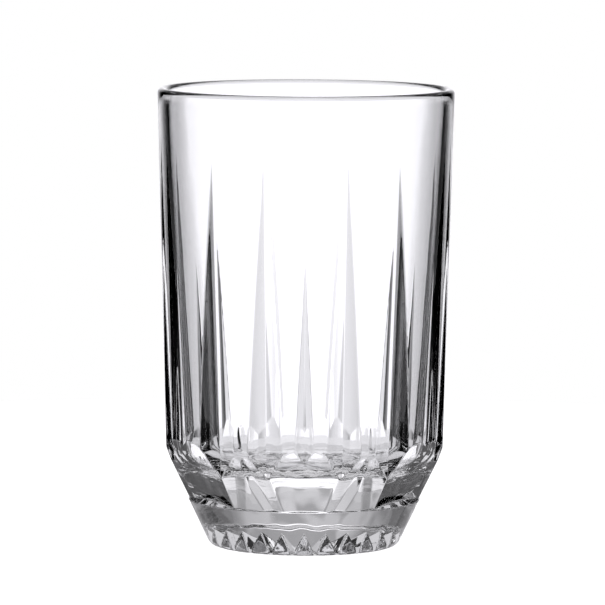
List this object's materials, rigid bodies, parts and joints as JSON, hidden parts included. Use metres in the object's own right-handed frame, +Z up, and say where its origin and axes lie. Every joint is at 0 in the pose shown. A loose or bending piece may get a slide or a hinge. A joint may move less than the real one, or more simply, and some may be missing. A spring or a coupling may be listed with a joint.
{
  "type": "water glass",
  "caption": "Tall pressed-glass water tumbler with a rolled rim, long V-cut spears, a faceted tapering base and a star cut under the foot.",
  "frame": {"origin": "centre of the foot, on the table that the glass stands on", "axes": "+Z up through the mouth; -Y to the picture's camera, through the middle of the front short spear; +X to the camera's right"},
  "size_m": [0.0785, 0.0784, 0.121],
  "materials": {
    "clear_glass": "clear, fire-polished, smooth"
  },
  "bodies": {
    "root": {"tumbler": "clear_glass"}
  },
  "joints": []
}
